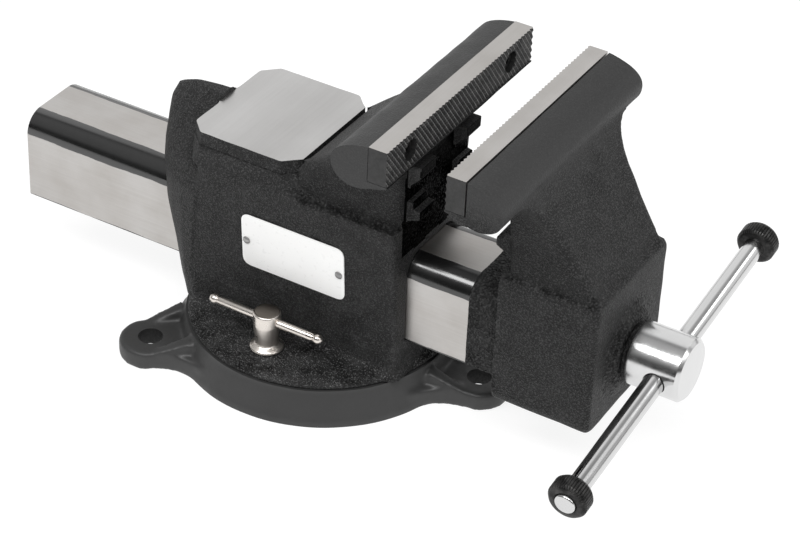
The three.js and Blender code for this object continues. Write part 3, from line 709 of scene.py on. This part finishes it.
def slide():
    """The channel-shaped slide, ground on its flats."""
    outer = slide_outline(0)
    half, top, low = SLIDE["hollow_half"], SLIDE["hollow_top"], SLIDE["bottom"]
    inner = rounded([(half, low), (half, top), (-half, top), (-half, low)], 4)
    obj = mesh_from("slide_channel", prism(outer + inner, SLIDE["rear"], SLIDE["neck"] + 1, "X"))
    bevel(obj, 0.6, 50)
    obj.data.materials.append(SLIDE_STEEL)
    finish_piece(obj, "movable_jaw")


def base_casting():
    """The round base and its three lugs, with the pocket that the fixed jaw's spigot turns in."""
    above = 40
    obj = cad_copy("swivel_base", "swivel_base_casting")
    plugs = [shifted(rod(LUG_HOLE_RADIUS + 1, 1, 10.6), x, y) for x, y in LUG_HOLES]
    add_stock(obj, rod(BASE["top"], 15, 26, 96), rod(BASE["bottom"], -4, 3, 96), *plugs)
    remesh(obj, 1.2)
    relax(obj, 5, lambda p: np.where(np.abs(p[:, 2] - 20) < 2, 0.6, 0.0))
    uneven(obj, amount=0.25, scale=18, seed=5)
    holes = [shifted(rod(LUG_HOLE_RADIUS, -10, 30), x, y) for x, y in LUG_HOLES]
    carve(obj, block((-200, 200), (-200, 200), (-20, 0)), washer(BASE["pocket"], 100, BASE["height"], above),
          rod(BASE["pocket"], BASE["pocket_floor"], above, 64), *holes)

    def choose(c, n):
        # The walls of the lug holes get painted shade.
        in_hole = any(math.hypot(c.x - x, c.y - y) < LUG_HOLE_RADIUS + 0.2 for x, y in LUG_HOLES)
        return HOLE_PAINTED_SHADE if in_hole and abs(n.z) < 0.5 and c.z > 0.2 else BASE_PAINT

    paint_faces(obj, (BASE_PAINT, HOLE_PAINTED_SHADE), choose)
    finish_piece(obj, "base", ["swivel_base"], 40)


# ---------------------------------------------------------------- jaw inserts
def tooth_grid(face, inward):
    """An open sheet of pyramid teeth between crossed grooves, its points on the jaw's face."""
    columns, rows = TEETH["columns"], TEETH["rows"]
    points, faces, known = [], [], {}

    def add(x, i, j):
        across, up = (i - columns) * TEETH["width"] / 2, (j - rows) * TEETH["height"] / 2
        points.append((x, across, INSERT["screw_z"] + up))
        return len(points) - 1

    def groove(i, j):
        if (i, j) not in known:
            known[i, j] = add(face + inward * TEETH["depth"], i, j)
        return known[i, j]

    for i in range(2 * columns):
        for j in range(i % 2, 2 * rows, 2):
            corners = [groove(i, j + 1), groove(i + 1, j + 2), groove(i + 2, j + 1), groove(i + 1, j)]
            top = add(face, i + 1, j + 1)
            faces += [[a, b, top] for a, b in zip(corners, corners[1:] + corners[:1])]
    return points, faces


def tooth_slab(face, inward):
    """The sheet of teeth made solid by walls back from its rim and one flat face behind."""
    points, faces = tooth_grid(face, inward)
    bm = bmesh.new()
    made = [bm.verts.new(p) for p in points]
    for f in faces:
        bm.faces.new([made[k] for k in f])
    rim = [e for e in bm.edges if e.is_boundary]
    for v in bmesh.ops.extrude_edge_only(bm, edges=rim)["geom"]:
        if isinstance(v, bmesh.types.BMVert):
            v.co.x = face + inward * TEETH["back"]
    bmesh.ops.contextual_create(bm, geom=[e for e in bm.edges if e.is_boundary])
    bm.verts.index_update()
    slab = [tuple(v.co) for v in bm.verts], [[v.index for v in f.verts] for f in bm.faces]
    bm.free()
    return slab


def jaw_insert(name, body, face, inward, node):
    """A hardened insert: ground top, toothed face and two counterbored screw holes."""
    back, before = face + inward * INSERT["depth"], face - inward
    sides, heights = (-HALF_JAW, HALF_JAW), (INSERT["low"], INSERT["top"])
    obj = mesh_from(name, block(sorted((face + inward * 1.5, back)), sides, heights))
    slab = mesh_from("teeth", tooth_slab(face, inward))
    trim(slab, block(sorted((before, back)), sides, heights))
    boolean(obj, "UNION", slab)
    head = sorted((before, face + inward * COUNTERBORE["depth"]))
    shank = sorted((before, face + inward * 14))
    for side in (-1, 1):
        centre = side * INSERT["screw_y"], INSERT["screw_z"]
        carve(obj, along_x(rod(COUNTERBORE["radius"], *head, 40), *centre),
              along_x(rod(INSERT["screw_hole"], *shank, 24), *centre))

    def choose(c, n):
        # Tooth facets that face down get painted shade, those that face up and away a painted highlight, and
        # the rest plain tooth steel.
        if abs(n.x) > 0.3 and abs(c.x - face) < 2:
            if n.z < 0:
                return TOOTH_PAINTED_SHADE
            return TOOTH_PAINTED_HIGHLIGHT if n.y * n.z > 0.01 else TOOTH_STEEL
        if abs(n.y) > 0.9 or n.z < -0.9:
            return END_STEEL
        # The counterbores and screw holes get painted shade.
        near = COUNTERBORE["radius"] + 1
        in_hole = abs(c.z - INSERT["screw_z"]) < near and abs(abs(c.y) - INSERT["screw_y"]) < near
        return HOLE_PAINTED_SHADE if in_hole else GROUND_STEEL

    paint_faces(obj, (GROUND_STEEL, TOOTH_STEEL, END_STEEL, TOOTH_PAINTED_HIGHLIGHT, TOOTH_PAINTED_SHADE, HOLE_PAINTED_SHADE), choose)
    finish_piece(obj, body, [node], 20)


# ---------------------------------------------------------------- spindle and handle
def thread(start, end, steps=40):
    """A right-hand trapezoidal thread along X: rows of points that climb one lead in each turn."""
    profile = ((0.0, 0.0), (0.16, 1.0), (0.5, 1.0), (0.66, 0.0))
    lead, per_turn = SHAFT["lead"], len(profile)
    rows = (int((end - start) / lead) + 2) * per_turn
    points, faces = [], []
    for row in range(rows):
        offset, height = profile[row % per_turn]
        r = SHAFT["radius"] - SHAFT["thread_depth"] * (1 - height)
        for k in range(steps):
            x = start + (row // per_turn + offset + k / steps - 1) * lead
            a = math.tau * k / steps
            points.append((min(max(x, start), end), -r * math.sin(a), r * math.cos(a)))
    for row in range(rows - 1):
        for k in range(steps):
            if k + 1 < steps:
                b, c = row * steps + k + 1, (row + 1) * steps + k + 1
            else:
                b, c = (min(r, rows - 1) * steps for r in (row + per_turn, row + 1 + per_turn))
            face = [row * steps + k, b, c, (row + 1) * steps + k]
            faces.append(list(dict.fromkeys(face)))
    first_turn = [row * steps for row in range(per_turn, -1, -1)]
    faces.append(list(range(steps)) + first_turn[:-1])
    return points, [f for f in faces if len(f) > 2]


def spindle():
    """Polished hub with its cross hole, the neck that runs through the jaw, and the threaded shaft."""
    r, rear, front, neck = HUB["radius"], HUB["rear"], HUB["front"], SHAFT["neck"]
    start, tip, chamfer = SHAFT["front"], SHAFT["tip"], HUB["chamfer"]
    side = [(r, rear + 2 + (front - rear - 4) * i / 16) for i in range(17)]
    profile = [(0, start), (neck, start), (neck, rear)]
    profile += rounded([(neck, rear), (r, rear), side[0]], 1.2)[1:-1] + side
    profile += rounded([side[-1], (r, front - chamfer), (r - chamfer, front), (0, front)], 0.3)[1:]
    hub = mesh_from("spindle_hub", along_x(lathe(profile, 96), z=SPINDLE_Z))
    carve(hub, moved(rod(HANDLE["radius"] + 0.5, -60, 60, 64), handle_frame()))
    hub.data.materials.append(CHROME)
    finish_piece(hub, "spindle", ["spindle"], 30)

    shaft = mesh_from("spindle_thread", shifted(thread(SHAFT["rear"] - 2, start + 2), z=SPINDLE_Z))
    lead_in = SHAFT["radius"] - tip
    kept = [(0, SHAFT["rear"]), (tip, SHAFT["rear"]), (SHAFT["radius"], SHAFT["rear"] + lead_in),
            (SHAFT["radius"], start), (0, start)]
    trim(shaft, along_x(lathe(kept), z=SPINDLE_Z))
    shaft.data.materials.append(PLAIN_STEEL)
    finish_piece(shaft, "spindle")


def handle_frame():
    """The handle bar's own frame, with the bar along its Z axis."""
    tilt = Matrix.Rotation(math.radians(HANDLE["tilt"]), 4, "X")
    return Matrix.Translation((HANDLE["x"], 0, SPINDLE_Z)) @ tilt @ Matrix.Rotation(-math.pi / 2, 4, "X")


def knurled_cap():
    """Ring cap with a straight knurled rim and a bore for the bar."""
    r, face, bore = HANDLE["cap"], HANDLE["face"], HANDLE["radius"] + 0.05
    low, chamfer, edge, lip = face - HANDLE["thick"], 2.2, 0.5, 0.6
    profile = [(bore, low), (r - chamfer, low), (r - 1.2, low + edge), (r, low + chamfer),
               (r, face - chamfer), (r - 1.2, face - edge), (r - chamfer, face), (bore + lip, face),
               (bore, face - lip)]

    def groove(radius, k):
        return KNURL["depth"] if radius == r and k % KNURL["points_a_tooth"] == 0 else 0.0

    return ring(profile, KNURL["teeth"] * KNURL["points_a_tooth"], groove)


def handle():
    """The sliding bar and its two caps, the near one turned over."""
    r, half = HANDLE["radius"], HANDLE["half"]
    outline = rounded([(0, -half), (r, -half), (r, half), (0, half)], 1.4)
    bar = mesh_from("handle_rod", moved(lathe(outline), handle_frame()))
    bar.data.materials.append(BAR_CHROME)
    finish_piece(bar, "handle", ["handle_bar"])
    for word, turn in (("near", math.pi), ("far", 0)):
        place = handle_frame() @ Matrix.Rotation(turn, 4, "X")
        cap = mesh_from(f"handle_knob_{word}", moved(knurled_cap(), place))
        cap.data.materials.append(BLACK_STEEL)
        finish_piece(cap, "handle", [f"handle_cap_{word}"], 30)


# ---------------------------------------------------------------- swivel locks
def lock_screw(word, y):
    """Nickel-plated screw head with a flange at its foot and a cross hole for the bar."""
    seat, top = LOCK["seat"], LOCK["top"]
    profile = [(0, 6), (5, 6), (5, seat), (9.4, seat), (9.4, seat + 1.5), (7.6, seat + 2.7),
               (6.3, seat + 3.6), (6.5, seat + 7), (7.6, top - 8), (7.7, top - 0.9), (6.9, top), (0, top)]
    screw = mesh_from(f"lock_head_{word}", shifted(lathe(rounded(profile, 0.8), 72), LOCK["x"], y))
    carve(screw, along_x(rod(LOCK_ROD["bore"], -30, 30, 32), y, LOCK["bar_z"]))
    bevel(screw, 0.25, 40)

    def choose(c, n):
        return WORN_NICKEL if n.z > 0.9 and c.z > top - 0.5 else NICKEL

    paint_faces(screw, (NICKEL, WORN_NICKEL), choose)
    finish_piece(screw, f"lock_{word}", [f"lock_screw_{word}"])


def lock_bar(word, y):
    """The screw's sliding bar, with a small neck before the ball on each end."""
    half, r, ball = LOCK["bar_half"], LOCK_ROD["radius"], LOCK_ROD["ball"]
    neck = r - 0.3
    end = [(r, half - 3.6), (neck, half - 3.2), (neck, half - 2.6)]
    for angle in np.radians((-50, -25, 0, 25, 50, 72)):
        end.append((ball * math.cos(angle), half - 0.2 + ball * math.sin(angle)))
    end += [(0, half + ball)]
    line = [(radius, -z) for radius, z in reversed(end)] + end
    bar = mesh_from(f"lock_rod_{word}", shifted(along_x(lathe(line, 40)), LOCK["bar_x"], y, LOCK["bar_z"]))
    bar.data.materials.append(NICKEL)
    finish_piece(bar, f"lock_bar_{word}", [f"lock_bar_{word}"], 50)


# ---------------------------------------------------------------- nameplate
def plate_frame():
    """The plate's own frame on the leaning near face of the block, with its outward side as +Z."""
    low, high, half_low, half_high = (PLATE_WALL[key] for key in ("low", "high", "half_low", "half_high"))
    lean = math.atan2(half_high - half_low, high - low)
    out = half_high - (high - PLATE["z"]) * math.tan(lean)
    return Matrix.Translation((PLATE["x"], -out, PLATE["z"])) @ Matrix.Rotation(math.pi / 2 + lean, 4, "X")


def nameplate():
    """Blank enamelled plate and the two rivets that hold it."""
    half_x, half_y = PLATE["length"] / 2, PLATE["height"] / 2
    corners = [(half_x, half_y), (-half_x, half_y), (-half_x, -half_y), (half_x, -half_y)]
    outline = rounded(corners, PLATE_CORNER, closed=True, steps=8)
    obj = mesh_from("nameplate_sheet", moved(prism(outline, GAP, GAP + PLATE["thick"]), plate_frame()))
    bevel(obj, 0.25, 50)
    obj.data.materials.append(ENAMEL)
    finish_piece(obj, "fixed_jaw", ["nameplate"])
    seat = GAP * 2 + PLATE["thick"] - 0.25
    head = rounded([(0, -1), (1.2, -1), (1.2, seat), (2.3, seat), (2.2, seat + 0.6), (1.2, seat + 1.15),
                    (0, seat + 1.3)], 0.5)
    for side, word in ((-1, "rear"), (1, "front")):
        place = plate_frame() @ Matrix.Translation((side * PLATE["rivet"], 0, 0))
        rivet = mesh_from(f"rivet_{word}", moved(lathe(head, 32), place))
        rivet.data.materials.append(PLAIN_STEEL)
        finish_piece(rivet, "fixed_jaw", [f"nameplate_rivet_{word}"])


# ---------------------------------------------------------------- the rest of the CAD nodes
KEPT = (
    (ROUGH_PAINT, ("thrust_washer",)),
    (NUT_IRON, ("spindle_nut",)),
    (PLAIN_STEEL, ("spindle_collar", "spindle_collar_pin", "clamp_nut_near", "clamp_nut_far")),
    (BLACK_STEEL, ("spindle_nut_bolt_rear", "spindle_nut_bolt_front",
                   "fixed_insert_screw_near", "fixed_insert_screw_far",
                   "movable_insert_screw_near", "movable_insert_screw_far")),
)


def dress_kept_nodes():
    for material, nodes in KEPT:
        for node in nodes:
            slots = NODES[node].data.materials
            slots.clear()
            slots.append(material)


# ---------------------------------------------------------------- studio, in metres
CAMERA = {"place": (0.61875, -1.01268, 0.89167), "round": 29.38, "down": 35.42, "roll": 2.69, "lens": 118.0}
LIGHTS = (  # name, place, width and height, power
    ("key", (0.25, -1.14, 1.84), (2.4, 0.6), 40),
    ("right", (2.0, 0.1, 1.3), (1.4, 1.0), 9),
    ("back", (1.5, 1.9, 1.8), (0.9, 0.6), 4),
)
AIM = (0.02, 0, 0.09)
# Brightness of the room by angle in degrees: straight up is 0, the viewer's side 90, the far side -90.
ROOM = ((-180, 1.0), (-25, 1.0), (-18, 0.45), (-13, 0.20), (-8, 0.40), (5, 0.50), (14, 0.50), (52, 0.40),
        (70, 0.08), (90, 0.04), (180, 0.04))
# What multiplies it: by height from the horizon (0) to straight up (1), and from left (0) to right (1).
HEIGHT = ((0.0, 0.4), (0.06, 0.5), (0.14, 1.0), (1.0, 1.0))
ACROSS = ((0.0, 1.0), (0.40, 1.0), (0.50, 0.5), (0.66, 0.32), (0.72, 0.95), (0.84, 0.9), (0.87, 0.45),
          (1.0, 0.8))


def add_camera(scene):
    camera = new_object("camera", bpy.data.cameras.new("camera"))
    turn = (Matrix.Rotation(math.radians(CAMERA["round"]), 4, "Z")
            @ Matrix.Rotation(math.radians(90 - CAMERA["down"]), 4, "X")
            @ Matrix.Rotation(math.radians(CAMERA["roll"]), 4, "Z"))
    camera.matrix_world = Matrix.Translation(CAMERA["place"]) @ turn
    camera.data.lens, camera.data.sensor_width = CAMERA["lens"], 36.0
    camera.data.clip_start, camera.data.clip_end = 0.05, 50
    scene.camera = camera


def add_floor():
    """A wide sheet of pale paper that glows a little, so that shadows on it stay faint."""
    half, low = FLOOR_HALF, -0.2
    points = [(-half, -half, low), (half, -half, low), (half, half, low), (-half, half, low)]
    floor = mesh_from("floor", (points, [[0, 1, 2, 3]]))
    n = Paint("floor_paper")
    floor.data.materials.append(n.done(color=n.blend(n.noise(3, 2), grey(0.22), grey(0.25)), rough=0.9,
                                       specular=0.0, glow=grey(1), glow_strength=0.84))


def add_room(scene):
    """The world as a plain room: bright beyond the vise, dim overhead, dark on the viewer's side."""
    world = bpy.data.worlds.new("studio")
    scene.world = world
    world.use_nodes = True
    n = Tree(world.node_tree, "Generated")
    way = n.split()
    angle = n.math("ARCTAN2", n.math("MULTIPLY", way["Y"], -1.0), way["Z"])
    turn = n.math("ADD", n.math("DIVIDE", angle, math.tau), 0.5)
    room = n.ramp(turn, [(degrees / 360 + 0.5, value) for degrees, value in ROOM])
    by_height = n.ramp(way["Z"], HEIGHT)
    by_side = n.ramp(n.math("ADD", n.math("MULTIPLY", way["X"], 0.5), 0.5), ACROSS)
    background = n.tree.nodes["Background"].inputs
    n.feed(background["Color"], room)
    n.feed(background["Strength"], n.math("MULTIPLY", by_height, by_side))


def add_lights():
    for name, place, size, power in LIGHTS:
        light = bpy.data.lights.new(name, "AREA")
        light.shape = "RECTANGLE"
        light.size, light.size_y, light.energy = *size, power
        obj = new_object(name, light)
        obj.location = place
        obj.rotation_euler = (Vector(AIM) - Vector(place)).to_track_quat("-Z", "Y").to_euler()


def studio():
    scene = bpy.context.scene
    add_camera(scene)
    add_floor()
    add_room(scene)
    add_lights()
    scene.view_settings.view_transform = "Standard"


# ---------------------------------------------------------------- assembly
studio()
dress_kept_nodes()
base_casting()
fixed_casting()
movable_casting()
slide()
jaw_insert("fixed_insert_toothed", "fixed_jaw", FIXED_FACE, -1, "fixed_jaw_insert")
jaw_insert("movable_insert_toothed", "movable_jaw", MOVABLE_FACE, 1, "movable_jaw_insert")
spindle()
handle()
for lock_word, lock_side in (("near", -1), ("far", 1)):
    lock_screw(lock_word, lock_side * LOCK["reach"])
    lock_bar(lock_word, lock_side * LOCK["reach"])
nameplate()
